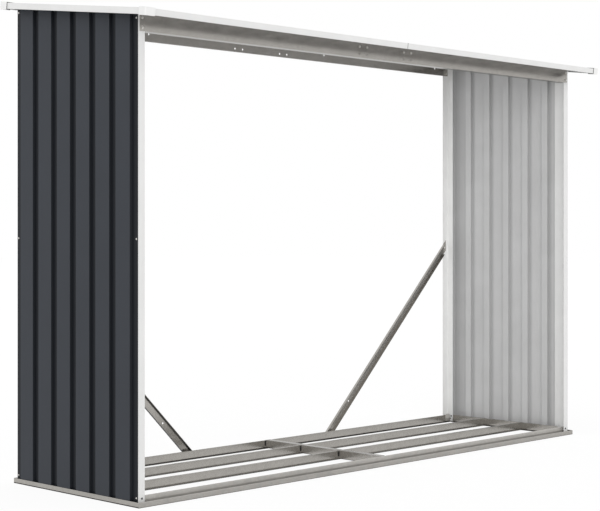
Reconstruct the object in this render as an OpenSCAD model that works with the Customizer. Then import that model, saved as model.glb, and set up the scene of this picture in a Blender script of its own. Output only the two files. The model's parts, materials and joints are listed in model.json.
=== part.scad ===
// Log store: an open steel frame with two ribbed side walls, a lean-to roof and a slatted base.
// Millimetres, +X along the length, -Y to the open front, +Z up, ground at Z = 0.

/* [Base] */
// Length of the base over its outer lips
base_l = 2319; // [1600:1:3200]
// Depth of the base over its outer lips
base_d = 659; // [560:1:900]
// Height of the outer lip of the base rails
lip_h = 17; // [12:0.5:24]
// Height of the inner web of the base rails
web_h = 31; // [26:0.5:45]
// Width of the channel from the lip's outside to the web's inside
channel_w = 33; // [33:0.5:45]
// Width of the foot that carries the slats inside the web
foot_w = 12; // [8:0.5:20]
// How far the end rails' webs stop short of the long rails' webs, beside the posts
web_corner_gap = 19; // [16:0.5:30]
// Gap between the front rail's web and the front posts
web_post_gap = 0.5; // [0.2:0.1:4]
// Thickness of the frame steel
steel_t = 1.5; // [1:0.1:2.5]

/* [Floor] */
// Number of floor slats between the long rails
slat_rows = 2; // [2:1:2]
// Width of the slats' lower flange
slat_flange_w = 14; // [8:0.5:24]
// Width of the slats' folded top edge
slat_top_w = 8; // [4:0.5:14]
// Width of the middle cross rail
cross_w = 26; // [18:0.5:40]
// How far the cross rail stands over the rail webs
cross_proud = 1.5; // [0:0.5:4]

/* [Posts] */
// Depth of the frame from the front posts' face to the rear posts' back
frame_d = 636; // [600:1:640]
// How far the frame's middle lies behind the base's middle
frame_back = 6; // [0:0.5:8]
// Width of a front post's face
front_face_w = 25.5; // [20:0.5:40]
// Width of a front post's flange along the wall
front_side_w = 62; // [40:0.5:80]
// Width of a rear post's back flange
rear_face_w = 35.5; // [28:0.5:50]
// Width of a rear post's flange along the wall
rear_side_w = 28.5; // [25:0.5:50]

/* [Walls] */
// Thickness of the ribbed sheet
sheet_t = 1.2; // [0.8:0.1:2]
// Depth of the wall ribs
rib_h = 9; // [6:0.5:11]
// Run of a rib's sloping side
rib_flank = 3; // [1.5:0.5:6]
// Width of a groove between two wall ribs, at its mouth
groove_w = 32.4; // [24:0.1:42]
// Distance from one wall groove to the next
groove_pitch = 101.4; // [88:0.1:104]
// Least width of a wall's flat edge, beside its posts
wall_edge_w = 20; // [10:0.5:30]
// Gap between the wall's ribs and the base lip
lip_gap = 0.5; // [0.2:0.1:2]

/* [Roof] */
// Height of the roof's front upper edge
roof_front_z = 1515.6; // [1200:0.1:2000]
// Slope of the roof in degrees
roof_slope = 7.16; // [3:0.01:15]
// How far the roof stands out at each end of the base
roof_side_over = 47.5; // [30:0.5:120]
// How far the roof stands out in front of the posts
roof_front_over = 108; // [60:1:200]
// How far the roof stands out behind the posts
roof_rear_over = 10; // [6:0.5:80]
// Number of roof sheets
roof_sheets = 4; // [4:1:4]
// Grooves between the middles of two sheet joints
sheet_grooves = 6; // [4:1:8]
// Depth of the roof ribs
roof_rib_h = 9; // [6:0.5:11]
// Overlap of two roof sheets, in a groove
sheet_lap = 18; // [10:0.5:22]
// Height of the edge trims
trim_h = 20; // [18:0.5:35]
// Thickness of the edge trims
trim_t = 1.2; // [0.8:0.1:2]
// Width of a trim's upper flange
trim_top_w = 26; // [16:0.5:40]
// Width of a trim's lower flange
trim_low_w = 10; // [6:0.5:20]
// Gap between the two halves of the front and rear trims
trim_joint_gap = 1.5; // [0.5:0.5:4]
// How far a corner cap's longer arm laps over a trim
cap_long_lap = 9; // [4:0.5:20]
// How far a corner cap's shorter arm laps over a trim
cap_short_lap = 2; // [1:0.5:10]
// Thickness of a corner cap
cap_t = 2.5; // [1.5:0.1:3]
// Width of a corner cap's lower lip
cap_lip_w = 12; // [6:0.5:20]

/* [Beams] */
// Height of the front beam's face
front_beam_h = 55.5; // [50:0.5:80]
// Height of the rear beam's face
rear_beam_h = 63; // [55:0.5:90]
// Width of the front beam's upper flange
beam_top_w = 20; // [14:0.5:30]
// Width of the front beam's lower flange, between the posts
beam_low_w = 30; // [8:0.5:40]
// Width of the rear beam's flanges
rear_flange_w = 9; // [5:0.5:9]
// How far the beams stop short of the walls
beam_end_gap = 5; // [3:0.5:20]
// Gap between a beam's lower flange and the posts
beam_post_gap = 1; // [0.5:0.5:5]
// How far the rear beam's joint lies to the left of the front beam's
rear_joint_x = 11; // [0:0.5:60]
// How far a joint plate reaches past the outer holes
plate_end = 20; // [10:0.5:60]
// Height of a joint plate
plate_h = 24; // [16:0.5:24]
// Height of a joint plate's lower edge over the beam's lower edge
plate_z = 27; // [20:0.5:27]
// Height of the side rails under the roof
side_rail_h = 30; // [20:0.5:50]
// Width of the side rails' upper flange
side_rail_w = 18; // [12:0.5:30]

/* [Holes] */
// Diameter of the open holes in the beams and the braces
hole_d = 7.5; // [4:0.5:9]
// Distance of the hole pairs from a beam's joint
pair_x = 120.5; // [80:0.5:200]
// Spacing of the two holes of a pair
pair_pitch = 40; // [24:0.5:60]
// Height of the hole pairs over the beam's lower edge
pair_z = 12; // [9:0.5:15]
// Height of the single holes over the beam's lower edge
single_z = 27; // [20:0.5:45]
// Distance of the left single hole from the middle
single_left_x = 580; // [400:1:700]
// Distance of the inner right single hole from the middle
single_right_x = 344; // [300:1:700]
// Distance of the outer right single hole from the middle
single_end_x = 1053; // [720:1:1080]
// Distance of a brace's hole from its foot, along the brace
brace_hole_s = 200; // [80:1:400]

/* [Braces] */
// Distance of the left brace's foot from the middle
brace_left_x = 372; // [200:1:500]
// Distance of the right brace's foot from the middle
brace_right_x = 349; // [200:1:500]
// Width of a brace's face
brace_w = 32; // [18:0.5:40]
// Depth of a brace's flanges
brace_leg = 10; // [5:0.5:20]
// How far a brace's head overlaps the rear post
brace_lap = 18; // [10:0.5:30]
// How far a brace's flanges stop short of the rear post
brace_head_gap = 1; // [0.5:0.5:10]
// Slope of the braces in degrees
brace_slope = 45; // [35:0.5:60]

/* [Hidden] */
// Small overrun of cutting solids
eps = 1;
// Smallest running overlap of a long bar with the box that trims it
overrun = 100;

half_l = base_l / 2;
half_d = base_d / 2;
web_in_x = half_l - channel_w;
web_in_y = half_d - channel_w;

// Levels of the wall sheet, from the middle plane outwards
crest_x = half_l - steel_t - lip_gap;
valley_x = crest_x - rib_h;
post_x = valley_x - sheet_t;
frame_front = frame_back - frame_d / 2;
frame_rear = frame_back + frame_d / 2;

// An odd number of grooves, as many as the wall's depth takes
groove_room = frame_d / 2 - wall_edge_w - rib_flank + groove_w / 2;
groove_n = 2 * floor(groove_room / groove_pitch) - 1;

// Roof frame: v runs up the slope from the front edge, w is square to the roof and 0 on its upper face
roof_l = base_l + 2 * roof_side_over;
roof_front_y = frame_front - roof_front_over;
roof_run = frame_d + roof_front_over + roof_rear_over;
roof_v = roof_run / cos(roof_slope);
under_w = -(trim_t + roof_rib_h + sheet_t);
edge_gap = 0.5;
trim_corner_gap = 1;
sheet_span = roof_l - 2 * (trim_t + edge_gap);
joint_n = roof_sheets - 1;
roof_groove_n = joint_n * sheet_grooves + sheet_grooves - 1;
roof_pitch = sheet_span / roof_groove_n;

// Part origin: on the ground under the middle of the roof's outline
part_y = roof_front_y + (roof_run + trim_h * sin(roof_slope)) / 2;

// Height of the sheets' underside at depth y
function under_z(y) = roof_front_z + (y - roof_front_y) * tan(roof_slope) + under_w / cos(roof_slope);

// Corner shift that keeps a folded sheet at its thickness
function fold_shift(flank, h) = sheet_t * tan(atan2(h, flank) / 2);

galvanised = [0.62, 0.61, 0.58];
white_coat = [0.90, 0.90, 0.89];
anthracite = [0.26, 0.27, 0.30];

// Puts a piece that is drawn about the base's middle into the part's frame
module placed() {
    translate([0, -part_y, 0]) children();
}

// Section in the Y-Z plane, run along X from x0 to x1
module along_x(x0, x1) {
    translate([x0, 0, 0]) rotate([90, 0, 90]) linear_extrude(x1 - x0) children();
}

// Roof frame: X, v and w
module on_roof() {
    translate([0, roof_front_y, roof_front_z]) rotate([roof_slope, 0, 0]) children();
}

// Section in the X-w plane, run up the roof from v0 to v1
module up_roof(v0, v1) {
    on_roof() translate([0, v1, 0]) rotate([90, 0, 0]) linear_extrude(v1 - v0) children();
}

// Keeps what lies below a plane parallel to the roof
module below_roof(drop) {
    reach = base_l + overrun;
    intersection() {
        children();
        up_roof(-roof_v, 2 * roof_v)
            translate([-reach / 2, -2 * roof_front_z])
                square([reach, 2 * roof_front_z + under_w - drop]);
    }
}

// Long base rail: lip, bottom, web and foot, drawn for the front; its web reaches from -web_x to web_x
module long_rail(web_x) {
    along_x(-half_l + steel_t, half_l - steel_t)
        translate([-half_d, 0]) square([channel_w, steel_t]);
    along_x(-half_l, half_l)
        translate([-half_d, 0]) square([steel_t, lip_h]);
    along_x(-web_x, web_x)
        translate([-web_in_y - steel_t, 0]) square([steel_t, web_h]);
    along_x(-web_in_x, web_in_x)
        translate([-web_in_y - steel_t, 0]) square([foot_w + steel_t, steel_t]);
}

// End base rail, drawn for the right end
module end_rail() {
    web_d = web_in_y - web_corner_gap;
    translate([web_in_x, -web_in_y, 0]) cube([channel_w - steel_t, 2 * web_in_y, steel_t]);
    translate([half_l - steel_t, -half_d + steel_t, 0]) cube([steel_t, base_d - 2 * steel_t, lip_h]);
    translate([web_in_x, -web_d, 0]) cube([steel_t, 2 * web_d, web_h]);
    translate([web_in_x - foot_w, -web_d, 0]) cube([foot_w + steel_t, 2 * web_d, steel_t]);
}

module base_front_rail() color(galvanised) placed() long_rail(post_x - steel_t - web_post_gap);
module base_rear_rail() color(galvanised) placed() mirror([0, 1, 0]) long_rail(web_in_x);
module base_right_rail() color(galvanised) placed() end_rail();
module base_left_rail() color(galvanised) placed() mirror([1, 0, 0]) end_rail();

// Middle cross rail: a channel that lies on the long rails' feet
module cross_rail() {
    h = web_h + cross_proud - steel_t;
    color(galvanised) placed()
        translate([-cross_w / 2, -web_in_y, steel_t])
            difference() {
                cube([cross_w, 2 * web_in_y, h]);
                translate([steel_t, -eps, steel_t])
                    cube([cross_w, 2 * web_in_y + 2 * eps, h - 2 * steel_t]);
            }
}

// Floor slat: web with a lower flange to the front and a folded edge to the back
module slat(row, side) {
    spacing = 2 * web_in_y / (slat_rows + 1);
    y = -web_in_y + row * spacing + slat_flange_w / 2;
    x0 = side < 0 ? -web_in_x : cross_w / 2;
    x1 = side < 0 ? -cross_w / 2 : web_in_x;
    h = web_h - steel_t;
    color(galvanised) placed() along_x(x0, x1) translate([y, steel_t]) {
        translate([-slat_flange_w, 0]) square([slat_flange_w, steel_t]);
        translate([-steel_t, 0]) square([steel_t, h]);
        translate([-steel_t, h - steel_t]) square([slat_top_w, steel_t]);
    }
}

module front_slat_left() slat(1, -1);
module front_slat_right() slat(1, 1);
module rear_slat_left() slat(2, -1);
module rear_slat_right() slat(2, 1);

// Corner post: an angle with one flange across and one along the wall, drawn for the right front
module corner_post(face_w, side_w) {
    linear_extrude(2 * roof_front_z) {
        translate([post_x - face_w, 0]) square([face_w, steel_t]);
        translate([post_x - steel_t, 0]) square([steel_t, side_w]);
    }
}

module front_post() {
    below_roof(steel_t)
        translate([0, frame_front, steel_t]) corner_post(front_face_w, front_side_w);
}

module rear_post() {
    below_roof(steel_t)
        translate([0, frame_rear, steel_t]) mirror([0, 1, 0]) corner_post(rear_face_w, rear_side_w);
}

module front_right_post() color(white_coat) placed() front_post();
module front_left_post() color(white_coat) placed() mirror([1, 0, 0]) front_post();
module rear_right_post() color(white_coat) placed() rear_post();
module rear_left_post() color(white_coat) placed() mirror([1, 0, 0]) rear_post();

// One side of the wall sheet as points [x, y]; d moves the folds so that the sheet keeps its thickness
function wall_line(x_low, d) = let(
        crest_w = groove_pitch - groove_w,
        first = -(groove_n - 1) / 2,
        reach = (groove_n - 1) / 2 * groove_pitch + groove_w / 2 + crest_w - d
    ) concat(
        [[x_low, -frame_d / 2], [x_low, -reach - rib_flank], [x_low + rib_h, -reach]],
        [for (i = [0 : groove_n - 1]) let(mid = (first + i) * groove_pitch, half = groove_w / 2 + d)
            each [
                [x_low + rib_h, mid - half], [x_low, mid - half + rib_flank],
                [x_low, mid + half - rib_flank], [x_low + rib_h, mid + half]
            ]],
        [[x_low + rib_h, reach], [x_low, reach + rib_flank], [x_low, frame_d / 2]]
    );

function flipped(list) = [for (i = [len(list) - 1 : -1 : 0]) list[i]];

// Ribbed side wall, drawn for the right end
module side_wall() {
    below_roof(0)
        translate([0, frame_back, steel_t]) linear_extrude(2 * roof_front_z)
            polygon(concat(
                wall_line(valley_x, 0),
                flipped(wall_line(post_x, fold_shift(rib_flank, rib_h)))
            ));
}

module right_wall() color(anthracite) placed() side_wall();
module left_wall() color(anthracite) placed() mirror([1, 0, 0]) side_wall();

// Side rail: an angle under the roof, against the posts, drawn for the right end
module side_rail() {
    v0 = (roof_front_over + beam_top_w) / cos(roof_slope);
    v1 = (roof_run - roof_rear_over - beam_top_w) / cos(roof_slope);
    up_roof(v0, v1)
        translate([post_x - steel_t, under_w]) {
            translate([-side_rail_w, -steel_t]) square([side_rail_w, steel_t]);
            translate([-steel_t, -side_rail_h]) square([steel_t, side_rail_h]);
        }
}

module right_side_rail() color(galvanised) placed() side_rail();
module left_side_rail() color(galvanised) placed() mirror([1, 0, 0]) side_rail();

// Face and upper flange of a beam in the Y-Z plane: face at y, flange along the roof to the back
module beam_section(y, h, top_w) {
    t_up = steel_t / cos(roof_slope);
    polygon([
        [y, under_z(y) - h],
        [y, under_z(y)],
        [y + top_w, under_z(y + top_w)],
        [y + top_w, under_z(y + top_w) - t_up],
        [y + steel_t, under_z(y + steel_t) - t_up],
        [y + steel_t, under_z(y) - h]
    ]);
}

beam_end_x = post_x - beam_end_gap;
front_beam_y = frame_front - steel_t;
front_beam_z = under_z(front_beam_y) - front_beam_h;
rear_beam_y = frame_rear - 2 * steel_t;
rear_beam_z = under_z(rear_beam_y) - rear_beam_h;
plate_l = 2 * (pair_x + pair_pitch / 2 + plate_end);

// Beam from x0 to x1 on the posts' front faces; its lower flange lies between posts of the given width
module beam(y, h, top_w, low_w, post_w, x0, x1) {
    inner_x = post_x - post_w - beam_post_gap;
    along_x(x0, x1) beam_section(y, h, top_w);
    along_x(max(x0, -inner_x), min(x1, inner_x))
        translate([y, under_z(y) - h]) square([low_w, steel_t]);
}

module hole_y(x, y, z) {
    translate([x, y, z]) rotate([90, 0, 0]) cylinder(d = hole_d, h = 4 * steel_t, center = true, $fn = 32);
}

// Pairs of open holes on both sides of a joint
module pair_holes(joint_x, y, z) {
    for (side = [-1, 1], end = [-0.5, 0.5])
        hole_y(joint_x + side * pair_x + end * pair_pitch, y, z);
}

module front_beam(x0, x1) {
    difference() {
        beam(front_beam_y, front_beam_h, beam_top_w, beam_low_w, front_face_w, x0, x1);
        pair_holes(0, front_beam_y, front_beam_z + pair_z);
    }
}

module rear_beam(x0, x1) {
    difference() {
        beam(rear_beam_y, rear_beam_h, rear_flange_w, rear_flange_w, rear_face_w, x0, x1);
        pair_holes(-rear_joint_x, rear_beam_y, rear_beam_z + pair_z);
        for (x = [-single_left_x, single_right_x, single_end_x])
            hole_y(x, rear_beam_y, rear_beam_z + single_z);
    }
}

module front_beam_left() color(galvanised) placed() front_beam(-beam_end_x, 0);
module front_beam_right() color(galvanised) placed() front_beam(0, beam_end_x);
module rear_beam_left() color(galvanised) placed() rear_beam(-beam_end_x, -rear_joint_x);
module rear_beam_right() color(galvanised) placed() rear_beam(-rear_joint_x, beam_end_x);

// Joint plate on the back of a beam, above its hole pairs
module joint_plate(joint_x, y, z) {
    translate([joint_x - plate_l / 2, y + steel_t, z + plate_z]) cube([plate_l, steel_t, plate_h]);
}

module front_joint_plate() color(galvanised) placed() joint_plate(0, front_beam_y, front_beam_z);
module rear_joint_plate() color(galvanised) placed() joint_plate(-rear_joint_x, rear_beam_y, rear_beam_z);

// Diagonal brace: a shallow channel from the rear rail's bottom up to a rear post, drawn for the right
module brace(foot_x) {
    head_x = post_x - rear_face_w + brace_lap;
    flange_x = post_x - rear_face_w - brace_head_gap;
    y = frame_rear - steel_t;
    reach = 2 * roof_front_z;
    intersection() {
        translate([foot_x, y, 0]) rotate([0, -brace_slope, 0])
            translate([-overrun, 0, -brace_w / 2])
                difference() {
                    translate([0, -brace_leg, 0]) cube([reach, brace_leg, brace_w]);
                    translate([-eps, -brace_leg - steel_t, steel_t])
                        cube([reach + 2 * eps, brace_leg, brace_w - 2 * steel_t]);
                    translate([overrun + brace_hole_s, 0, brace_w / 2])
                        rotate([90, 0, 0])
                            cylinder(d = hole_d, h = 4 * steel_t, center = true, $fn = 32);
                }
        union() {
            translate([0, 0, steel_t]) cube([flange_x, frame_rear, reach]);
            translate([0, y - steel_t, steel_t]) cube([head_x, steel_t, reach]);
        }
    }
}

module left_brace() color(galvanised) placed() mirror([1, 0, 0]) brace(brace_left_x);
module right_brace() color(galvanised) placed() brace(brace_right_x);

// One side of a roof sheet as points [x, level]; first and last are the numbers of its joint grooves
function roof_line(first, last, d, low) = let(
        half = groove_w / 2 + d,
        mid = function(i) (i - (roof_groove_n - 1) / 2) * roof_pitch,
        edge = sheet_span / 2,
        lap = sheet_lap / 2,
        top = low + roof_rib_h
    ) concat(
        first < 0
            ? [[-edge, top]]
            : [[mid(first) - lap, low], [mid(first) + half - rib_flank, low], [mid(first) + half, top]],
        [for (i = [first + 1 : last - 1]) each [
            [mid(i) - half, top], [mid(i) - half + rib_flank, low],
            [mid(i) + half - rib_flank, low], [mid(i) + half, top]
        ]],
        last >= roof_groove_n
            ? [[edge, top]]
            : [
                [mid(last) - half, top],
                [mid(last) - half + rib_flank * (roof_rib_h - sheet_t) / roof_rib_h, low + sheet_t],
                [mid(last) + lap, low + sheet_t]
            ]
    );

// Roof sheet by number, from the left; each laps over the next one in a groove
module roof_sheet(n) {
    first = n == 1 ? -1 : (n - 1) * sheet_grooves - 1;
    last = n == roof_sheets ? roof_groove_n : n * sheet_grooves - 1;
    color(anthracite) placed()
        up_roof(trim_t + edge_gap, roof_v - trim_t - edge_gap)
            translate([0, under_w])
                polygon(concat(
                    roof_line(first, last, 0, sheet_t),
                    flipped(roof_line(first, last, fold_shift(rib_flank, roof_rib_h), 0))
                ));
}

module roof_sheet_1() roof_sheet(1);
module roof_sheet_2() roof_sheet(2);
module roof_sheet_3() roof_sheet(3);
module roof_sheet_4() roof_sheet(4);

// Trim section: upper flange, face and lower flange, face at 0 and flanges towards +
module trim_section() {
    translate([0, -trim_h]) square([trim_t, trim_h]);
    translate([0, -trim_t]) square([trim_top_w, trim_t]);
    translate([0, -trim_h]) square([trim_low_w, trim_t]);
}

// Trims end near the corners, where neither meets the other's upper flange
trim_end = trim_top_w + trim_corner_gap;
trim_end_x = roof_l / 2 - trim_end;
trim_joint_x = trim_joint_gap / 2;

// Front trim from x0 to x1
module front_trim(x0, x1) {
    on_roof() along_x(x0, x1) trim_section();
}

module rear_trim(x0, x1) {
    on_roof() translate([0, roof_v, 0]) mirror([0, 1, 0]) along_x(x0, x1) trim_section();
}

module side_trim() {
    up_roof(trim_end, roof_v - trim_end)
        translate([roof_l / 2, 0]) mirror([1, 0]) trim_section();
}

module front_trim_left() color(white_coat) placed() front_trim(-trim_end_x, -trim_joint_x);
module front_trim_right() color(white_coat) placed() front_trim(trim_joint_x, trim_end_x);
module rear_trim_left() color(white_coat) placed() rear_trim(-trim_end_x, -trim_joint_x);
module rear_trim_right() color(white_coat) placed() rear_trim(trim_joint_x, trim_end_x);
module right_trim() color(white_coat) placed() side_trim();
module left_trim() color(white_coat) placed() mirror([1, 0, 0]) side_trim();

// Outline of a corner cap with arms of the given lengths; the trims' corner is at 0, wall out from it
module cap_outline(arm_x, arm_y, wall) {
    cut = trim_t + edge_gap + wall * (2 - sqrt(2));
    polygon([
        [arm_x, -wall], [cut - wall, -wall], [-wall, cut - wall], [-wall, arm_y], [arm_x, arm_y]
    ]);
}

// Corner cap: a sleeve over the ends of two trims, with a top plate, two walls and a lower lip
module cap(arm_x, arm_y) {
    difference() {
        translate([0, 0, -trim_h - cap_t])
            linear_extrude(trim_h + 2 * cap_t) cap_outline(arm_x, arm_y, cap_t);
        translate([0, 0, -trim_h])
            linear_extrude(trim_h) cap_outline(arm_x + eps, arm_y + eps, 0);
        translate([cap_lip_w, cap_lip_w, -trim_h - cap_t - eps])
            cube([arm_x, arm_y, cap_t + 2 * eps]);
    }
}

// Cap at one roof corner; the caps are alike, each turned a quarter from the last
module corner_cap(right, rear) {
    color(white_coat) placed() on_roof()
        translate([(right ? 1 : -1) * roof_l / 2, rear ? roof_v : 0, 0])
            mirror([right ? 1 : 0, 0, 0]) mirror([0, rear ? 1 : 0, 0])
                cap(
                    trim_end + (right == rear ? cap_long_lap : cap_short_lap),
                    trim_end + (right == rear ? cap_short_lap : cap_long_lap)
                );
}

module front_left_cap() corner_cap(false, false);
module front_right_cap() corner_cap(true, false);
module rear_left_cap() corner_cap(false, true);
module rear_right_cap() corner_cap(true, true);

base_front_rail();
base_rear_rail();
base_left_rail();
base_right_rail();
cross_rail();
front_slat_left();
front_slat_right();
rear_slat_left();
rear_slat_right();
front_left_post();
front_right_post();
rear_left_post();
rear_right_post();
left_wall();
right_wall();
left_side_rail();
right_side_rail();
front_beam_left();
front_beam_right();
front_joint_plate();
rear_beam_left();
rear_beam_right();
rear_joint_plate();
left_brace();
right_brace();
roof_sheet_1();
roof_sheet_2();
roof_sheet_3();
roof_sheet_4();
front_trim_left();
front_trim_right();
rear_trim_left();
rear_trim_right();
left_trim();
right_trim();
front_left_cap();
front_right_cap();
rear_left_cap();
rear_right_cap();
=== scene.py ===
# %% [markdown]
# # A log store of sheet steel
# The store is a bolted frame of thin folded steel: galvanised rails and beams, white posts and trims,
# and two ribbed walls that are anthracite outside and pale grey inside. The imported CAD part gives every
# large shape. This lesson gives the surfaces their finish, and adds the screws, the bolts and a few small
# pieces at the joints.

# %% Load the frame
import json
import math

import bmesh
import bpy
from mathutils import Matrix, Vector


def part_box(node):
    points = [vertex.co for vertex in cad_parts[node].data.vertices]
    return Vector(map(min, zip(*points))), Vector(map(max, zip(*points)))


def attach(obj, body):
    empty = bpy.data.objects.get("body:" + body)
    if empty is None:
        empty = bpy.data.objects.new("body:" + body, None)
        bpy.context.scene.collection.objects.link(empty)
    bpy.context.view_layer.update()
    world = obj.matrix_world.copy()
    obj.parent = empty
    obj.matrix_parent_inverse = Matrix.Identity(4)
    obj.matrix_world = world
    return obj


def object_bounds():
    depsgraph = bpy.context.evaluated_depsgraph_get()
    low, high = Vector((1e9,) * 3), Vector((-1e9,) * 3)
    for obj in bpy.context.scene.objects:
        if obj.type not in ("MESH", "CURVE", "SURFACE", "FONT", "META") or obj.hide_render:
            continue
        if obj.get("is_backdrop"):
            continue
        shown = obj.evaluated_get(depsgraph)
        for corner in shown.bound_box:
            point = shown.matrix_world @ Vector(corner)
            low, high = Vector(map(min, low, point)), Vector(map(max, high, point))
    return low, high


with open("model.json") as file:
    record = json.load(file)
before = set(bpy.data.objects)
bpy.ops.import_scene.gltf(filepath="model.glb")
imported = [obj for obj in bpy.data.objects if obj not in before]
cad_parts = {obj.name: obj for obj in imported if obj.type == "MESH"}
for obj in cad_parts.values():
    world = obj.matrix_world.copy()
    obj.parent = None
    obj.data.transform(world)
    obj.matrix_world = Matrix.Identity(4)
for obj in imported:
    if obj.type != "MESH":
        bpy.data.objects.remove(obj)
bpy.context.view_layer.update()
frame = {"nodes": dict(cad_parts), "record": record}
nodes = frame["nodes"]

# %% [markdown]
# Colours are read as sRGB hex values, because that is how a paint chart gives them. Blender's shaders
# work in linear light, so one function turns a hex value into linear numbers. The other helpers add a
# node with its settings and links, start a material, and turn a width in millimetres into a texture
# scale. Every finish here has a soft change of tone, so that pattern is a helper as well.

# %% Colour and node helpers
MM = 0.001


def linear(hex_value):
    """An sRGB hex colour as a linear colour with full alpha."""
    parts = [int(hex_value[i : i + 2], 16) / 255 for i in (1, 3, 5)]
    return (*[p / 12.92 if p <= 0.04045 else ((p + 0.055) / 1.055) ** 2.4 for p in parts], 1.0)


def add(tree, kind, inputs=None, **settings):
    """Adds one node with its settings, and sets or links its inputs."""
    made = tree.nodes.new(kind)
    for name, value in settings.items():
        setattr(made, name, value)
    for key, value in (inputs or {}).items():
        if isinstance(value, bpy.types.NodeSocket):
            tree.links.new(value, made.inputs[key])
        else:
            made.inputs[key].default_value = value
    return made


def new_finish(name, metallic, roughness):
    """A material with one shader, and the tree, shader and coordinates to build on."""
    made = bpy.data.materials.new(name)
    made.use_nodes = True
    tree = made.node_tree
    shader = tree.nodes["Principled BSDF"]
    shader.inputs["Metallic"].default_value = metallic
    shader.inputs["Roughness"].default_value = roughness
    place = add(tree, "ShaderNodeTexCoord")
    return made, tree, shader, place


def size(millimetres):
    """Texture scale that gives a pattern about this wide."""
    return 1 / (millimetres * MM)


def tone_stops(tree, place_along, stops):
    """A colour from stops of (position, hex tone) along a value of 0 to 1."""
    ramp = add(tree, "ShaderNodeValToRGB", {"Fac": place_along})
    elements = ramp.color_ramp.elements
    while len(elements) < len(stops):
        elements.new(0.5)
    for element, (position, tone) in zip(elements, stops):
        element.position = position
        element.color = linear(tone)
    return ramp.outputs["Color"]


def two_tones(tree, pattern, low, high):
    """A colour that runs from low to high over the middle of a pattern."""
    return tone_stops(tree, pattern, ((0.3, low), (0.7, high)))


print("half grey is", round(linear("#808080")[0], 3), "in linear light")

# %% [markdown]
# ## Galvanised steel
# The rails, beams and slats are rolled strip with a matt zinc coat. It is a metal, so its colour comes
# from what it reflects: open faces look light, and folds that face each other go dark. Matt zinc also
# scatters some light, so the shader is not all metal. Zinc freezes in flat crystals, and the grey varies
# a little in patches of a centimetre or so: Voronoi cells make the crystals and a noise the soft clouds.
# Upright faces of the rails get a painted contact shadow, a dark band along their lowest edge, from a
# ramp over the height. The rear rail is duller beyond its web, because there a mirror would only show
# black. A
# Mix node has several sockets of one name, so its colour sockets are named by their place.

# %% Galvanised steel
COLOUR_A = 6
COLOUR_B = 7
COLOUR_RESULT = 2
CRYSTAL_WIDTH = 11
CLOUD_WIDTH = 70
CLOUD_PART = 0.75
STEEL = 1.5 * MM
RAIL_TOP = 0.040
RAIL_CHANNEL = 33 * MM
MIRROR_SHARE = 0.85
DULL_SHARE = 0.25
LOOKS_UP = 0.5
ZINC_TONES = ("#a4a19c", "#aeaba6")
PAINTED_CONTACT_SHADOW = ((0.05, "#343230"), (0.11, "#ffffff"))


def zinc_pattern(tree, place):
    """Soft clouds with faint crystals, from 0 to 1."""
    crystals = add(
        tree,
        "ShaderNodeTexVoronoi",
        {"Vector": place.outputs["Object"], "Scale": size(CRYSTAL_WIDTH), "Randomness": 1.0},
    )
    crystal_grey = add(tree, "ShaderNodeSeparateColor", {"Color": crystals.outputs["Color"]})
    clouds = add(
        tree,
        "ShaderNodeTexNoise",
        {"Vector": place.outputs["Object"], "Scale": size(CLOUD_WIDTH), "Detail": 3.0, "Roughness": 0.6},
    )
    blend = add(
        tree,
        "ShaderNodeMix",
        {"Factor": CLOUD_PART, "A": crystal_grey.outputs["Red"], "B": clouds.outputs["Fac"]},
    )
    return blend.outputs["Result"]


def zinc_coat(name, dull_beyond=None):
    """Matt zinc with a painted contact shadow along its lowest edge; behind a given Y it is dull, not a
    mirror.
    """
    made, tree, shader, place = new_finish(name, metallic=MIRROR_SHARE, roughness=0.22)
    shader.inputs["Specular Tint"].default_value = linear("#d8d8d8")
    pattern = zinc_pattern(tree, place)
    where = add(tree, "ShaderNodeSeparateXYZ", {0: place.outputs["Object"]})
    height = add(tree, "ShaderNodeMapRange", {"Value": where.outputs["Z"], "From Max": RAIL_TOP})
    normal = add(tree, "ShaderNodeSeparateXYZ", {0: place.outputs["Normal"]})
    upright = add(tree, "ShaderNodeMath", {0: normal.outputs["Z"], 1: LOOKS_UP}, operation="LESS_THAN")
    # painted shade: upright faces darken towards the ground, standing for a contact shadow
    edge = add(
        tree,
        "ShaderNodeMix",
        {
            "Factor": upright.outputs[0],
            COLOUR_A: two_tones(tree, pattern, *ZINC_TONES),
            COLOUR_B: tone_stops(tree, height.outputs["Result"], PAINTED_CONTACT_SHADOW),
        },
        data_type="RGBA",
        blend_type="MULTIPLY",
    )
    tree.links.new(edge.outputs[COLOUR_RESULT], shader.inputs["Base Color"])
    gloss = add(tree, "ShaderNodeMapRange", {"Value": pattern, "To Min": 0.17, "To Max": 0.27})
    tree.links.new(gloss.outputs["Result"], shader.inputs["Roughness"])
    if dull_beyond is not None:
        beyond = add(
            tree, "ShaderNodeMath", {0: where.outputs["Y"], 1: dull_beyond}, operation="GREATER_THAN"
        )
        share = add(
            tree,
            "ShaderNodeMapRange",
            {"Value": beyond.outputs[0], "To Min": MIRROR_SHARE, "To Max": DULL_SHARE},
        )
        tree.links.new(share.outputs["Result"], shader.inputs["Metallic"])
    print("made", name)
    return made


galvanised_steel = zinc_coat("galvanised_steel")
rear_web_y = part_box("base_rear_rail")[1].y - RAIL_CHANNEL + STEEL / 2
rear_rail_steel = zinc_coat("galvanised_steel_rear_rail", rear_web_y)
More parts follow.
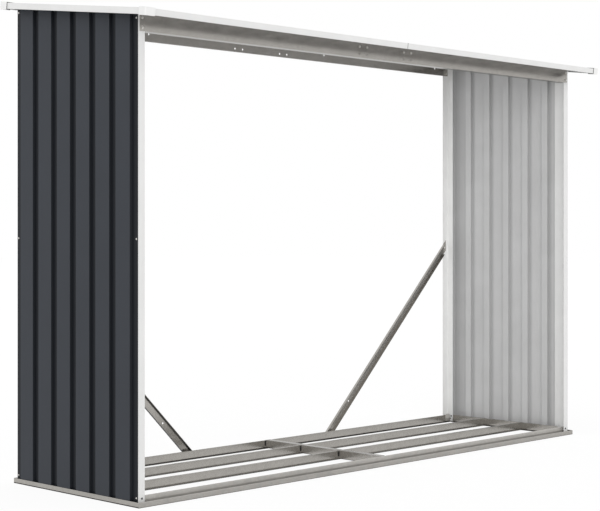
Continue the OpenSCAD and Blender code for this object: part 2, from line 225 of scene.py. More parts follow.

# %% [markdown]
# The front rail shows an even, pale grey with hardly any mirror in it, so it gets a zinc of its own. The
# photo shows its lowest edge dark and its upper part lighter, so a ramp over the height paints a contact
# shadow along that edge and painted light on the upper part. Faces that look up have no such shadow, so
# for them the ramp starts past it.

# %% Dull rail
CLEAR_OF_EDGE = 0.2
dull_rail, tree, shader, place = new_finish(
    "galvanised_steel_rail", metallic=DULL_SHARE, roughness=0.5
)
where = add(tree, "ShaderNodeSeparateXYZ", {0: place.outputs["Object"]})
height = add(tree, "ShaderNodeMapRange", {"Value": where.outputs["Z"], "From Max": RAIL_TOP})
normal = add(tree, "ShaderNodeSeparateXYZ", {0: place.outputs["Normal"]})
level = add(tree, "ShaderNodeMath", {0: normal.outputs["Z"], 1: LOOKS_UP}, operation="GREATER_THAN")
clear = add(tree, "ShaderNodeMath", {0: level.outputs[0], 1: CLEAR_OF_EDGE}, operation="MULTIPLY")
along = add(
    tree, "ShaderNodeMath", {0: height.outputs["Result"], 1: clear.outputs[0]}, operation="MAXIMUM"
)
# painted contact shadow at the foot, painted light on the upper part
painted_shade_and_light_by_height = tone_stops(
    tree,
    along.outputs[0],
    ((0.02, "#66635f"), (0.07, "#a8a5a0"), (0.38, "#aeaba6"), (0.46, "#d2cfca")),
)
mottle = two_tones(tree, zinc_pattern(tree, place), "#f0f0f0", "#ffffff")
toned = add(
    tree,
    "ShaderNodeMix",
    {"Factor": 1.0, COLOUR_A: painted_shade_and_light_by_height, COLOUR_B: mottle},
    data_type="RGBA",
    blend_type="MULTIPLY",
)
tree.links.new(toned.outputs[COLOUR_RESULT], shader.inputs["Base Color"])
print("made", dull_rail.name)

# %% [markdown]
# The braces are shallow channels of the same strip. The photo shows their lower sides almost black, in
# shade, so the faces that look down get a painted near-black shade, found by the upward part of the
# normal.

# %% Braces
LOOKS_DOWN = -0.3
brace_steel, tree, shader, place = new_finish(
    "galvanised_steel_brace", metallic=1.0, roughness=0.22
)
normal = add(tree, "ShaderNodeSeparateXYZ", {0: place.outputs["Normal"]})
under = add(tree, "ShaderNodeMath", {0: normal.outputs["Z"], 1: LOOKS_DOWN}, operation="LESS_THAN")
# painted shade: near black on the faces that look down
colour = add(
    tree,
    "ShaderNodeMix",
    {
        "Factor": under.outputs[0],
        COLOUR_A: two_tones(tree, zinc_pattern(tree, place), *ZINC_TONES),
        COLOUR_B: linear("#1e1d1b"),
    },
    data_type="RGBA",
)
tree.links.new(colour.outputs[COLOUR_RESULT], shader.inputs["Base Color"])
print("made", brace_steel.name)

# %% [markdown]
# ## White coating
# Posts and trims are coil-coated steel. The film is smooth and satin, with a fine orange peel that
# breaks up the highlight and hardly any change of colour. The rear posts look lighter than the front
# ones in the photo, so they get painted light: a lighter copy of the same white.

# %% White coating
FILM_WIDTH = 90
PEEL_WIDTH = 2.5
PEEL_HEIGHT = 0.3 * MM


def orange_peel(tree, place, shader, depth):
    """The fine waves of a stoved paint film, drawn wide enough to show."""
    waves = add(
        tree,
        "ShaderNodeTexNoise",
        {"Vector": place.outputs["Object"], "Scale": size(PEEL_WIDTH), "Detail": 1.0},
    )
    bump = add(
        tree,
        "ShaderNodeBump",
        {"Height": waves.outputs["Fac"], "Strength": depth, "Distance": PEEL_HEIGHT},
    )
    tree.links.new(bump.outputs["Normal"], shader.inputs["Normal"])


def coil_coat(name, low, high):
    """Satin white paint between two tones."""
    made, tree, shader, place = new_finish(name, metallic=0.0, roughness=0.4)
    film = add(
        tree,
        "ShaderNodeTexNoise",
        {"Vector": place.outputs["Object"], "Scale": size(FILM_WIDTH), "Detail": 2.0},
    )
    tree.links.new(two_tones(tree, film.outputs["Fac"], low, high), shader.inputs["Base Color"])
    orange_peel(tree, place, shader, depth=0.08)
    print("made", name)
    return made


white_coat = coil_coat("white_coil_coat", "#e8e8e7", "#ededec")
# painted light: the rear posts' white is lighter to stand for more light on them
painted_light_post_coat = coil_coat("white_coat_painted_light_rear_post", "#f6f6f5", "#fafaf9")

# %% [markdown]
# ## Two-sided sheet
# The wall and roof sheets are painted anthracite on the weather side and pale grey on the other. A mask
# over one solid gives both, with no second skin to keep in step. The recipe takes small functions that
# say which side is out, how far a point lies from groove to rib, and where the inner side is in shade.

# %% Two-sided sheet
OUTWARD = 0.05
SHEET_CLOUD_WIDTH = 140


def two_sided_sheet(name, outward, level, weather_stops, inner_stops, inner_shades):
    """Coated sheet; outward is above 0 on the weather side, level runs from groove to rib."""
    made, tree, shader, place = new_finish(name, metallic=0.0, roughness=0.5)
    shader.inputs["Specular IOR Level"].default_value = 0.25
    side = add(
        tree, "ShaderNodeMath", {0: outward(tree, place), 1: OUTWARD}, operation="GREATER_THAN"
    )
    height = level(tree, place)
    inner = tone_stops(tree, height, inner_stops)
    for along, stops in inner_shades:
        shaded = add(
            tree,
            "ShaderNodeMix",
            {"Factor": 1.0, COLOUR_A: inner, COLOUR_B: tone_stops(tree, along(tree, place), stops)},
            data_type="RGBA",
            blend_type="MULTIPLY",
        )
        inner = shaded.outputs[COLOUR_RESULT]
    colour = add(
        tree,
        "ShaderNodeMix",
        {
            "Factor": side.outputs[0],
            COLOUR_A: inner,
            COLOUR_B: tone_stops(tree, height, weather_stops),
        },
        data_type="RGBA",
    )
    clouds = add(
        tree,
        "ShaderNodeTexNoise",
        {"Vector": place.outputs["Object"], "Scale": size(SHEET_CLOUD_WIDTH), "Detail": 3.0},
    )
    film = add(
        tree,
        "ShaderNodeMix",
        {
            "Factor": 1.0,
            COLOUR_A: colour.outputs[COLOUR_RESULT],
            COLOUR_B: two_tones(tree, clouds.outputs["Fac"], "#f6f6f6", "#ffffff"),
        },
        data_type="RGBA",
        blend_type="MULTIPLY",
    )
    tree.links.new(film.outputs[COLOUR_RESULT], shader.inputs["Base Color"])
    orange_peel(tree, place, shader, depth=0.1)
    print("made", made.name)
    return made


# %% [markdown]
# The solid knows which way each face looks, so the object's own normal tells the sides: for a wall out is
# away from the middle of the store, for the roof it is up. The distance from the middle picks a wall's
# tones: outside, its low parts, the grooves and flat edges, get a painted shade darker than its ribs, and
# inside, the flanks between get a painted shade as well.

# %% Sides and levels of a sheet
WALL_LEVELS = (1.1450, 1.1600)


def away_from_middle(tree, place):
    """Above 0 on the faces of a wall that look away from the middle of the store."""
    normal = add(tree, "ShaderNodeSeparateXYZ", {0: place.outputs["Normal"]})
    where = add(tree, "ShaderNodeSeparateXYZ", {0: place.outputs["Object"]})
    side = add(tree, "ShaderNodeMath", {0: where.outputs["X"]}, operation="SIGN")
    out = add(
        tree, "ShaderNodeMath", {0: normal.outputs["X"], 1: side.outputs[0]}, operation="MULTIPLY"
    )
    return out.outputs[0]


def distance_from_middle(tree, place):
    """0 to 1 from just inside a wall's grooves to just outside its ribs."""
    where = add(tree, "ShaderNodeSeparateXYZ", {0: place.outputs["Object"]})
    far = add(tree, "ShaderNodeMath", {0: where.outputs["X"]}, operation="ABSOLUTE")
    rise = add(
        tree,
        "ShaderNodeMapRange",
        {"Value": far.outputs[0], "From Min": WALL_LEVELS[0], "From Max": WALL_LEVELS[1]},
    )
    return rise.outputs["Result"]


def upwards(tree, place):
    """Above 0 on the faces that look up."""
    normal = add(tree, "ShaderNodeSeparateXYZ", {0: place.outputs["Normal"]})
    return normal.outputs["Z"]


def plain(tree, place):
    """1 all over."""
    return 1.0


print("a wall lies", WALL_LEVELS[0], "to", WALL_LEVELS[1], "m from the middle")

# %% [markdown]
# Inside, the photo shows a soft shade on the wall close to the rear post and in front of each rib's
# flank. One value runs along the last stretch of the depth, and another starts again at each rib; a ramp
# over each of them darkens the inner tone.

# %% Soft shade inside
SHADE_FROM = 0.252
SHADE_TO = 0.342
RIB_PITCH = 0.1014
FLANK_FOOT_Y = 0.1321


def towards_rear_post(tree, place):
    """0 to 1 over the last stretch of a wall before its rear post."""
    where = add(tree, "ShaderNodeSeparateXYZ", {0: place.outputs["Object"]})
    near = add(
        tree,
        "ShaderNodeMapRange",
        {"Value": where.outputs["Y"], "From Min": SHADE_FROM, "From Max": SHADE_TO},
    )
    return near.outputs["Result"]


def before_flank(tree, place):
    """0 to 1 over each rib pitch, from the foot of a flank towards the front."""
    where = add(tree, "ShaderNodeSeparateXYZ", {0: place.outputs["Object"]})
    gap = add(tree, "ShaderNodeMath", {0: FLANK_FOOT_Y, 1: where.outputs["Y"]}, operation="SUBTRACT")
    pitches = add(tree, "ShaderNodeMath", {0: gap.outputs[0], 1: RIB_PITCH}, operation="DIVIDE")
    part = add(tree, "ShaderNodeMath", {0: pitches.outputs[0]}, operation="FRACT")
    return part.outputs[0]


# painted shade on the inner face: darker towards the rear post and in front of each rib's flank
rear_shade = (
    (0.10, "#ffffff"),
    (0.23, "#f2f2f2"),
    (0.42, "#e6e6e6"),
    (0.54, "#e0e0e0"),
    (0.67, "#d4d4d4"),
    (0.80, "#d8d8d8"),
    (0.93, "#ffffff"),
)
flank_shade = ((0.00, "#e2e2e2"), (0.06, "#e4e4e4"), (0.11, "#f0f0f0"), (0.17, "#ffffff"))
print("shade over", round((SHADE_TO - SHADE_FROM) / MM), "mm before the rear posts")

# %% [markdown]
# The wall gets all of these. The roof is hardly seen, so one tone on each side is enough for it.

# %% Wall and roof sheets
wall_sheet = two_sided_sheet(
    "coil_coated_wall_sheet",
    away_from_middle,
    distance_from_middle,
    # painted shade: grooves and flat edges outside, and flanks inside, are darker than the ribs
    ((0.68, "#12161c"), (0.82, "#34383f")),
    ((0.17, "#d0d0d0"), (0.23, "#b2b2b2"), (0.68, "#b2b2b2"), (0.74, "#d0d0d0")),
    ((towards_rear_post, rear_shade), (before_flank, flank_shade)),
)
roof_sheet = two_sided_sheet(
    "coil_coated_roof_sheet",
    upwards,
    plain,
    ((0.0, "#34383f"), (1.0, "#34383f")),
    ((0.0, "#e2e2e2"), (1.0, "#e2e2e2")),
    (),
)

# %% [markdown]
# ## Moulded caps and fixings
# The roof's corner caps are moulded white plastic, a touch duller than the coated trims. They are sleeves
# over the trims' ends, and the photo shows a dark line at the end of each sleeve, so those end faces get
# a painted shade. They look towards the middle of the store, so the normal and the side of the store find
# them.

# %% Moulded caps
LOOKS_INWARD = -0.7
GRAIN_WIDTH = 1.2
cap_plastic, tree, shader, place = new_finish(
    "moulded_white_plastic", metallic=0.0, roughness=0.55
)
grain = add(
    tree,
    "ShaderNodeTexNoise",
    {"Vector": place.outputs["Object"], "Scale": size(GRAIN_WIDTH), "Detail": 2.0},
)
where = add(tree, "ShaderNodeSeparateXYZ", {0: place.outputs["Object"]})
normal = add(tree, "ShaderNodeSeparateXYZ", {0: place.outputs["Normal"]})
ends = []
for axis in ("X", "Y"):
    hand = add(tree, "ShaderNodeMath", {0: where.outputs[axis]}, operation="SIGN")
    outward = add(
        tree, "ShaderNodeMath", {0: normal.outputs[axis], 1: hand.outputs[0]}, operation="MULTIPLY"
    )
    inward = add(
        tree, "ShaderNodeMath", {0: outward.outputs[0], 1: LOOKS_INWARD}, operation="LESS_THAN"
    )
    ends.append(inward.outputs[0])
end = add(tree, "ShaderNodeMath", {0: ends[0], 1: ends[1]}, operation="MAXIMUM")
# painted shade on the sleeves' end faces
colour = add(
    tree,
    "ShaderNodeMix",
    {
        "Factor": end.outputs[0],
        COLOUR_A: two_tones(tree, grain.outputs["Fac"], "#f2f2f1", "#f6f6f5"),
        COLOUR_B: linear("#5a5a59"),
    },
    data_type="RGBA",
)
tree.links.new(colour.outputs[COLOUR_RESULT], shader.inputs["Base Color"])
orange_peel(tree, place, shader, depth=0.06)
print("made", cap_plastic.name)

# %% [markdown]
# Bolts and wall screws are zinc plated; the screws in the roof and the posts' feet are blackened. The
# bead in the trims' joints is grey sealant, and a painted near-black shade stands for narrow gaps in
# shade. They are all small, so one plain recipe with a soft change of tone does for them.

# %% Fixings, sealant and gaps
SPOT_WIDTH = 30


def fixing_finish(name, metallic, roughness, low, high):
    """A plain finish with a slight change of tone from place to place."""
    made, tree, shader, place = new_finish(name, metallic, roughness)
    tone = add(
        tree,
        "ShaderNodeTexNoise",
        {"Vector": place.outputs["Object"], "Scale": size(SPOT_WIDTH), "Detail": 1.0},
    )
    tree.links.new(two_tones(tree, tone.outputs["Fac"], low, high), shader.inputs["Base Color"])
    return made


zinc_plate = fixing_finish("zinc_plated_screw", 1.0, 0.3, "#c6c4c0", "#d6d4d0")
dark_screw = fixing_finish("blackened_screw", 0.3, 0.45, "#2a2c2f", "#3a3d41")
seal_bead = fixing_finish("grey_sealant", 0.0, 0.6, "#a6a6a5", "#b0b0af")
# painted shade: near black, for the shadow in narrow gaps
gap_shade_paint = fixing_finish("painted_gap_shade", 0.0, 0.7, "#1c1b1a", "#262524")
print("made", zinc_plate.name, dark_screw.name, seal_bead.name, gap_shade_paint.name)

# %% [markdown]
# Every CAD node carries the slot name from the record, so one table gives each slot its finish. A second
# table names the few nodes that have a finish of their own.

# %% Finish the CAD nodes
finish_of_slot = {
    "galvanised": galvanised_steel,
    "white_coat": white_coat,
    "wall_sheet": wall_sheet,
    "roof_sheet": roof_sheet,
    "white_cap": cap_plastic,
}
finish_of_node = {
    "base_front_rail": dull_rail,
    "base_rear_rail": rear_rail_steel,
    "rear_left_post": painted_light_post_coat,
    "rear_right_post": painted_light_post_coat,
    "left_brace": brace_steel,
    "right_brace": brace_steel,
}
for row in frame["record"]["subparts"]:
    node = nodes[row["node"]]
    finish = finish_of_node.get(row["node"], finish_of_slot[row["material_slot"]])
    node.data.materials.clear()
    node.data.materials.append(finish)
print("finished", len(nodes), "nodes")

# %% [markdown]
# ## Screws and bolts
# A fixing is a washer, a head and the rounded crown of that head. There are dozens, all alike, so a
# Geometry Nodes tree puts one on each point of a small mesh and turns it to the point's own direction,
# which is kept in an attribute named aim. Realize Instances makes real faces of them, which the export
# needs.

# %% Fixing tree
WASHER_SIDES = 18
CROWN_SHARE = 0.68
FIXING_INPUTS = ("Washer radius", "Washer height", "Head radius", "Head height", "Crown height")


def fixing_tree(name, sides, material):
    """A node group that sets a washer, a head and its crown on every point of its input."""
    group = bpy.data.node_groups.new(name, "GeometryNodeTree")
    face = group.interface
    face.new_socket("Geometry", in_out="INPUT", socket_type="NodeSocketGeometry")
    for label in FIXING_INPUTS:
        face.new_socket(label, in_out="INPUT", socket_type="NodeSocketFloat")
    face.new_socket("Geometry", in_out="OUTPUT", socket_type="NodeSocketGeometry")
    given = add(group, "NodeGroupInput")
    head_radius = given.outputs["Head radius"]
    washer_height = given.outputs["Washer height"]
    crown_radius = add(group, "ShaderNodeMath", {0: head_radius, 1: CROWN_SHARE}, operation="MULTIPLY")
    crown_foot = add(
        group, "ShaderNodeMath", {0: washer_height, 1: given.outputs["Head height"]}, operation="ADD"
    )
    washer = add(
        group,
        "GeometryNodeMeshCone",
        {
            "Vertices": WASHER_SIDES,
            "Radius Top": given.outputs["Washer radius"],
            "Radius Bottom": given.outputs["Washer radius"],
            "Depth": washer_height,
        },
    )
    head = add(
        group,
        "GeometryNodeMeshCone",
        {
            "Vertices": sides,
            "Radius Top": head_radius,
            "Radius Bottom": head_radius,
            "Depth": given.outputs["Head height"],
        },
    )
    crown = add(
        group,
        "GeometryNodeMeshCone",
        {
            "Vertices": sides,
            "Radius Top": crown_radius.outputs[0],
            "Radius Bottom": head_radius,
            "Depth": given.outputs["Crown height"],
        },
    )
    whole = add(group, "GeometryNodeJoinGeometry")
    group.links.new(washer.outputs["Mesh"], whole.inputs["Geometry"])
    for part, foot in ((head, washer_height), (crown, crown_foot.outputs[0])):
        lift = add(group, "ShaderNodeCombineXYZ", {"Z": foot})
        raised = add(
            group,
            "GeometryNodeTransform",
            {"Geometry": part.outputs["Mesh"], "Translation": lift.outputs["Vector"]},
        )
        group.links.new(raised.outputs["Geometry"], whole.inputs["Geometry"])
    aim = add(group, "GeometryNodeInputNamedAttribute", {"Name": "aim"}, data_type="FLOAT_VECTOR")
    turn = add(group, "FunctionNodeAlignRotationToVector", {"Vector": aim.outputs[0]}, axis="Z")
    placed = add(
        group,
        "GeometryNodeInstanceOnPoints",
        {
            "Points": given.outputs["Geometry"],
            "Instance": whole.outputs["Geometry"],
            "Rotation": turn.outputs["Rotation"],
        },
    )
    real = add(group, "GeometryNodeRealizeInstances", {"Geometry": placed.outputs["Instances"]})
    painted = add(
        group,
        "GeometryNodeSetMaterial",
        {"Geometry": real.outputs["Geometry"], "Material": material},
    )
    add(group, "NodeGroupOutput", {"Geometry": painted.outputs["Geometry"]})
    return group


# %% [markdown]
# A piece starts as bare points with their directions. The tree runs on them once, and the result is kept
# as a plain mesh with the tree's material, tied to the frame.

# %% Pieces of fixings
def finish_piece(name, mesh):
    """Makes an object of a finished mesh and ties it to the frame."""
    piece = bpy.data.objects.new(name, mesh)
    bpy.context.scene.collection.objects.link(piece)
    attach(piece, "root")
    print(name, "has", len(mesh.polygons), "faces")


def fixings(name, group, points, sizes):
    """One piece with a fixing at each (place, direction) of points; sizes are in millimetres."""
    mesh = bpy.data.meshes.new(name + "_points")
    mesh.from_pydata([p for p, _ in points], [], [])
    aims = mesh.attributes.new("aim", "FLOAT_VECTOR", "POINT")
    for i, (_, direction) in enumerate(points):
        aims.data[i].vector = direction
    seed = bpy.data.objects.new(name + "_points", mesh)
    bpy.context.scene.collection.objects.link(seed)
    modifier = seed.modifiers.new("fixings", "NODES")
    modifier.node_group = group
    for socket in group.interface.items_tree:
        if socket.in_out == "INPUT" and socket.name in FIXING_INPUTS:
            modifier[socket.identifier] = sizes[FIXING_INPUTS.index(socket.name)] * MM
    evaluated = seed.evaluated_get(bpy.context.evaluated_depsgraph_get())
    solid = bpy.data.meshes.new_from_object(evaluated)
    bpy.data.objects.remove(seed)
    finish_piece(name, solid)


# %% [markdown]
# There are round pan heads and hexagon heads. Each piece below gives its size in millimetres, in the
# order of the tree's inputs: radius and height of the washer, then of the head, and the crown's height.

# %% Kinds of fixing
PAN_SIDES = 14
HEX_SIDES = 6
pan_dark = fixing_tree("pan_head_dark", PAN_SIDES, dark_screw)
pan_zinc = fixing_tree("pan_head_zinc", PAN_SIDES, zinc_plate)
hex_zinc = fixing_tree("hex_head_zinc", HEX_SIDES, zinc_plate)
print("made", pan_dark.name, pan_zinc.name, hex_zinc.name)

# %% [markdown]
# The wall sheets are screwed to the posts through their flat front and rear edges, low, half way and
# high. The edges lie one rib depth inside the ribs, so the CAD box of a wall gives their plane.

# %% Wall screws
NARROW_PAN = (3.4, 0.5, 2.8, 0.8, 0.6)
LEFT = Vector((-1, 0, 0))
RIGHT = Vector((1, 0, 0))
RIB = 9 * MM
EDGE = 7.5 * MM
FOOT_SCREW_Z = 0.0267
MIDDLE_SCREW_Z = 0.8227
FRONT_TOP_Z = 1.502
REAR_TOP_Z = 1.580
wall_points = []
for wall, out in (("left_wall", LEFT), ("right_wall", RIGHT)):
    low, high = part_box(wall)
    x = low.x + RIB if out is LEFT else high.x - RIB
    for y, top in ((low.y + EDGE, FRONT_TOP_Z), (high.y - EDGE, REAR_TOP_Z)):
        wall_points += [(Vector((x, y, z)), out) for z in (FOOT_SCREW_Z, MIDDLE_SCREW_Z, top)]
fixings("wall_screws", pan_zinc, wall_points, NARROW_PAN)

# %% [markdown]
# Each beam is two lengths of folded strip, bolted to a joint plate behind them and to the posts at their
# ends. Hexagon heads stand on the front faces, and nuts on the back of the plates and the posts.

# %% Beam bolts
HEX_BOLT = (5.0, 0.8, 4.0, 2.3, 0.5)
HEX_NUT = (5.0, 0.8, 4.0, 3.2, 0.4)
FRONT = Vector((0, -1, 0))
REAR = Vector((0, 1, 0))
PAIR_X = 0.1205
PAIR_PITCH = 0.040
END_BOLT_X = 1.133
END_BOLT_RISES = (0.0415, 0.0105)
bolt_points = []
nut_points = []
for plate, beam in (("front_joint_plate", "front_beam_left"), ("rear_joint_plate", "rear_beam_left")):
    plate_low, plate_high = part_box(plate)
    beam_low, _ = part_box(beam)
    joint_x = (plate_low.x + plate_high.x) / 2
    bolt_z = (plate_low.z + plate_high.z) / 2
    for side in (-1, 1):
        for end in (-0.5, 0.5):
            x = joint_x + side * PAIR_X + end * PAIR_PITCH
            bolt_points.append((Vector((x, beam_low.y, bolt_z)), FRONT))
            nut_points.append((Vector((x, plate_high.y, bolt_z)), REAR))
        for rise in END_BOLT_RISES:
            z = beam_low.z + rise
            bolt_points.append((Vector((side * END_BOLT_X, beam_low.y, z)), FRONT))
            nut_points.append((Vector((side * END_BOLT_X, beam_low.y + 2 * STEEL, z)), REAR))
fixings("beam_bolts", hex_zinc, bolt_points, HEX_BOLT)
fixings("beam_nuts", hex_zinc, nut_points, HEX_NUT)

# %% [markdown]
# Each brace is bolted to the rear post through its flat head. It climbs at 45 degrees, so the distance
# from foot to head along the store is also the bolt's height. The two feet are not quite mirrored.

# %% Brace bolts
WIDE_PAN = (4.6, 0.7, 3.6, 1.0, 0.9)
BRACE_HEAD_X = 1.120
BRACE_FEET = (("left_brace", -1, 0.372), ("right_brace", 1, 0.349))
brace_points = []
for brace, side, foot_x in BRACE_FEET:
    _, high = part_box(brace)
    spot = Vector((side * BRACE_HEAD_X, high.y - STEEL, BRACE_HEAD_X - foot_x))
    brace_points.append((spot, FRONT))
fixings("brace_bolts", pan_zinc, brace_points, WIDE_PAN)

# %% [markdown]
# Each post is held to the base by a screw in its foot, seen on the front faces as a small dark dot. The
# rear posts have two more on the inner side of their other leg, one above the other.

# %% Foot screws
FOOT_X = 1.133
FOOT_Z = 0.025
POST_INSIDE_X = 1.1458
INNER_SPOTS = ((20.9 * MM, 22.2 * MM), (15.3 * MM, 10.5 * MM))
foot_points = []
for corner, y_end, out in (("front", 0, FRONT), ("rear", 1, REAR)):
    for hand, side in (("left", -1), ("right", 1)):
        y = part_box(f"{corner}_{hand}_post")[y_end].y
        foot_points.append((Vector((side * FOOT_X, y, FOOT_Z)), out))
rear_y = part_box("rear_right_post")[1].y
for side, out in ((-1, RIGHT), (1, LEFT)):
    for back, z in INNER_SPOTS:
        foot_points.append((Vector((side * POST_INSIDE_X, rear_y - back, z)), out))
fixings("foot_screws", pan_dark, foot_points, NARROW_PAN)

# %% [markdown]
# The rear rail ends in a rounded tab at each post, a little higher than the rail. It is an outline with
# two round corners, given a thickness; bmesh makes it from its points.

# %% Corner tabs
TAB_W = 0.030
TAB_TOP = 0.035
TAB_LOW = 0.004
TAB_R = 0.008
CORNER_STEPS = 6


def tab_outline(x0, x1):
    """Outline of a tab in X and Z, with rounded upper corners."""
    points = [(x0, TAB_LOW), (x1, TAB_LOW)]
    for middle, start in ((x1 - TAB_R, 0), (x0 + TAB_R, 90)):
        for step in range(CORNER_STEPS + 1):
            angle = math.radians(start + 90 * step / CORNER_STEPS)
            points.append((middle + TAB_R * math.cos(angle), TAB_TOP - TAB_R + TAB_R * math.sin(angle)))
    return points


_, rail_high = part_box("base_rear_rail")
web_front = rail_high.y - RAIL_CHANNEL
web_end = rail_high.x - RAIL_CHANNEL
built = bmesh.new()
for side in (-1, 1):
    x0, x1 = sorted((side * web_end, side * (web_end - TAB_W)))
    flat = built.faces.new([built.verts.new((x, web_front, z)) for x, z in tab_outline(x0, x1)])
    grown = bmesh.ops.extrude_face_region(built, geom=[flat])
    front_verts = [v for v in grown["geom"] if isinstance(v, bmesh.types.BMVert)]
    bmesh.ops.translate(built, verts=front_verts, vec=(0, -STEEL, 0))
bmesh.ops.recalc_face_normals(built, faces=built.faces)
tab_mesh = bpy.data.meshes.new("corner_tabs")
built.to_mesh(tab_mesh)
built.free()
tab_mesh.materials.append(dull_rail)
finish_piece("corner_tabs", tab_mesh)

# %% [markdown]
# The roof sheets are screwed down in their grooves, over the front beam and near the rear one. The points
# follow the roof's slope: v runs up the slope from the front edge, and the groove's floor lies a little
# under the trims' upper face. The photo does not show the roof from above, so the rows are judged.

# %% Roof screws
SLOPE = math.radians(7.16)
TRIM_TOP_W = 26 * MM
SHEET = 1.2 * MM
GROOVES = 23
ROOF_SPAN = 2.4106
GROOVE_FLOOR = -(SHEET + RIB)
ROOF_ROWS = (0.118, 0.726)
trim_low, trim_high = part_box("front_trim_left")
front_edge = trim_low.y
front_top = trim_high.z - TRIM_TOP_W * math.sin(SLOPE)
roof_normal = Vector((0, -math.sin(SLOPE), math.cos(SLOPE)))


def on_roof(x, v, w):
    """A point of the roof, v up the slope and w square to it."""
    y = front_edge + v * math.cos(SLOPE) - w * math.sin(SLOPE)
    z = front_top + v * math.sin(SLOPE) + w * math.cos(SLOPE)
    return Vector((x, y, z))


roof_points = []
for i in range(GROOVES):
    x = (i - (GROOVES - 1) / 2) * ROOF_SPAN / GROOVES
    roof_points += [(on_roof(x, v, GROOVE_FLOOR), roof_normal) for v in ROOF_ROWS]
fixings("roof_screws", pan_dark, roof_points, WIDE_PAN)

# %% [markdown]
# A grey bead seals the joints in the middle of the front and the rear trim. It is a small block on the
# trim's outer face, given by its range along the length, up the slope and square to the roof.

# %% Joint beads
BEAD_OUT = 0.4 * MM
BEAD_IN = 2.0 * MM
BEAD_W = 3.0 * MM
TRIM_H = 20 * MM
roof_v = (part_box("rear_trim_left")[1].y - front_edge) / math.cos(SLOPE)
CORNER_ORDER = ((0, 1, 3, 2), (4, 5, 7, 6), (0, 1, 5, 4), (2, 3, 7, 6), (0, 2, 6, 4), (1, 3, 7, 5))


def blocks(name, corner_lists, material):
    """One piece of closed blocks, each from its eight corners in binary order."""
    built = bmesh.new()
    for corners in corner_lists:
        verts = [built.verts.new(corner) for corner in corners]
        for order in CORNER_ORDER:
            built.faces.new([verts[i] for i in order])
    bmesh.ops.recalc_face_normals(built, faces=built.faces)
    mesh = bpy.data.meshes.new(name)
    built.to_mesh(mesh)
    built.free()
    mesh.materials.append(material)
    finish_piece(name, mesh)


beads = []
for v_range in ((-BEAD_OUT, BEAD_IN), (roof_v - BEAD_IN, roof_v + BEAD_OUT)):
    beads.append(
        [
            on_roof(x, v, w)
            for w in (-TRIM_H, BEAD_OUT)
            for v in v_range
            for x in (-BEAD_W / 2, BEAD_W / 2)
        ]
    )
blocks("joint_beads", beads, seal_bead)

# %% [markdown]
# Where the rear rail and the slats meet the cross rail, the photo shows a small dark line, as of a narrow
# gap. The CAD pieces touch there, so a bar of painted shade in each corner stands for the gap's shadow.

# %% Joint gaps
GAP_W = 2.5 * MM
GAP_LOW = 10 * MM
GAP_TOP = 29 * MM
SLAT_WEB = 12.5 * MM
gap_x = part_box("cross_rail")[0].x
web_fronts = [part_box(slat)[0].y + SLAT_WEB for slat in ("front_slat_left", "rear_slat_left")]
shade_bars = []
for y in (*web_fronts, web_front):
    shade_bars.append(
        [
            (gap_x + dx, y + dy, z)
            for z in (GAP_LOW, GAP_TOP)
            for dy in (-GAP_W, 0.0)
            for dx in (-GAP_W, 0.0)
        ]
    )
blocks("joint_gap_shade_bars", shade_bars, gap_shade_paint)

# %% [markdown]
# ## Stage, light and camera
# A white world lights the store evenly from all sides, and one broad soft lamp from the front left adds
# the rest, so a colour renders about as it is written. The camera and the metal see the world as plain
# white. The floor is matt white paper, seen mostly as plain white too, with a share of the real paper so
# that the store keeps its soft shadow.

# %% Floor
FLOOR_SIZE = 60
PLAIN_SHARE = 0.88
PLAIN_WHITE = 1.03


def seen_directly(tree):
    """1 for what the camera, a mirror or a clear piece sees, 0 for light that is scattered."""
    rays = add(tree, "ShaderNodeLightPath")
    mirror = add(
        tree,
        "ShaderNodeMath",
        {0: rays.outputs["Is Camera Ray"], 1: rays.outputs["Is Glossy Ray"]},
        operation="MAXIMUM",
    )
    seen = add(
        tree,
        "ShaderNodeMath",
        {0: mirror.outputs[0], 1: rays.outputs["Is Transmission Ray"]},
        operation="MAXIMUM",
    )
    return seen.outputs[0]


bpy.ops.mesh.primitive_plane_add(size=FLOOR_SIZE)
floor = bpy.context.object
floor.name = "studio_floor"
floor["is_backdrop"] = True
paper = bpy.data.materials.new("studio_paper")
paper.use_nodes = True
tree = paper.node_tree
tree.nodes.clear()
share = add(tree, "ShaderNodeMath", {0: seen_directly(tree), 1: PLAIN_SHARE}, operation="MULTIPLY")
matt = add(tree, "ShaderNodeBsdfDiffuse", {"Color": linear("#fafafa")})
white_glow = add(tree, "ShaderNodeEmission", {"Color": (1, 1, 1, 1), "Strength": PLAIN_WHITE})
mixed = add(
    tree,
    "ShaderNodeMixShader",
    {0: share.outputs[0], 1: matt.outputs["BSDF"], 2: white_glow.outputs["Emission"]},
)
add(tree, "ShaderNodeOutputMaterial", {"Surface": mixed.outputs["Shader"]})
floor.data.materials.append(paper)
print("made", floor.name)

# %% [markdown]
# The lamp is a sun of a wide angle: like a large softbox it has no hard shadow, and its place does not
# matter, only where it shines from.

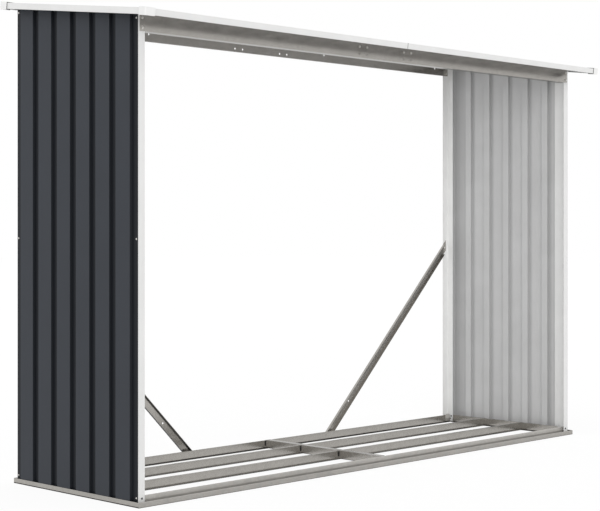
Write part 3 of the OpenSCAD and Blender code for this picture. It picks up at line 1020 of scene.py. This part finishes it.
# %% Light
SKY_LIGHT = 0.8
SOFTBOX_LIGHT = 0.95
SOFTBOX_ANGLE = math.radians(50)
SOFTBOX_FROM = (-0.64, -0.76, 0.12)
world = bpy.data.worlds.new("studio_white")
bpy.context.scene.world = world
world.use_nodes = True
tree = world.node_tree
level = add(
    tree,
    "ShaderNodeMapRange",
    {"Value": seen_directly(tree), "To Min": SKY_LIGHT, "To Max": 1.0},
)
sky = tree.nodes["Background"]
sky.inputs["Color"].default_value = (1, 1, 1, 1)
tree.links.new(level.outputs["Result"], sky.inputs["Strength"])

softbox = bpy.data.lights.new("softbox", "SUN")
softbox.energy = SOFTBOX_LIGHT
softbox.angle = SOFTBOX_ANGLE
lamp = bpy.data.objects.new("softbox", softbox)
bpy.context.scene.collection.objects.link(lamp)
lamp.rotation_euler = Vector(SOFTBOX_FROM).to_track_quat("Z", "Y").to_euler()
print("made", world.name, "and", lamp.name)

# %% [markdown]
# The camera stands level at half the store's height, to the left of the front, as the two sets of
# parallel edges in the photo show. A level camera keeps the posts upright, so the frame is lowered with
# the lens's shift.

# %% Camera
IMAGE_W = 600
FOCAL_PIXELS = 1493
MIDDLE_ROW = 255.5
HORIZON_ROW = 229.3
CAMERA_PLACE = (-4.06485, -3.83274, 0.85249)
CAMERA_HEADING = -45.4955
lens = bpy.data.cameras.new("camera")
lens.sensor_width = 36.0
lens.lens = lens.sensor_width * FOCAL_PIXELS / IMAGE_W
lens.shift_y = -(MIDDLE_ROW - HORIZON_ROW) / IMAGE_W
lens.clip_end = 200
camera = bpy.data.objects.new("camera", lens)
bpy.context.scene.collection.objects.link(camera)
camera.location = CAMERA_PLACE
camera.rotation_euler = (math.radians(90), 0, math.radians(CAMERA_HEADING))
bpy.context.scene.camera = camera
bpy.context.scene.view_settings.view_transform = "Standard"
print("camera at", [round(v, 3) for v in camera.location])

# %% [markdown]
# Last, the box of the dressed model is printed.

# %% Sizes
low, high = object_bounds()
print("visual box:", [round(v, 3) for v in (*low, *high)])
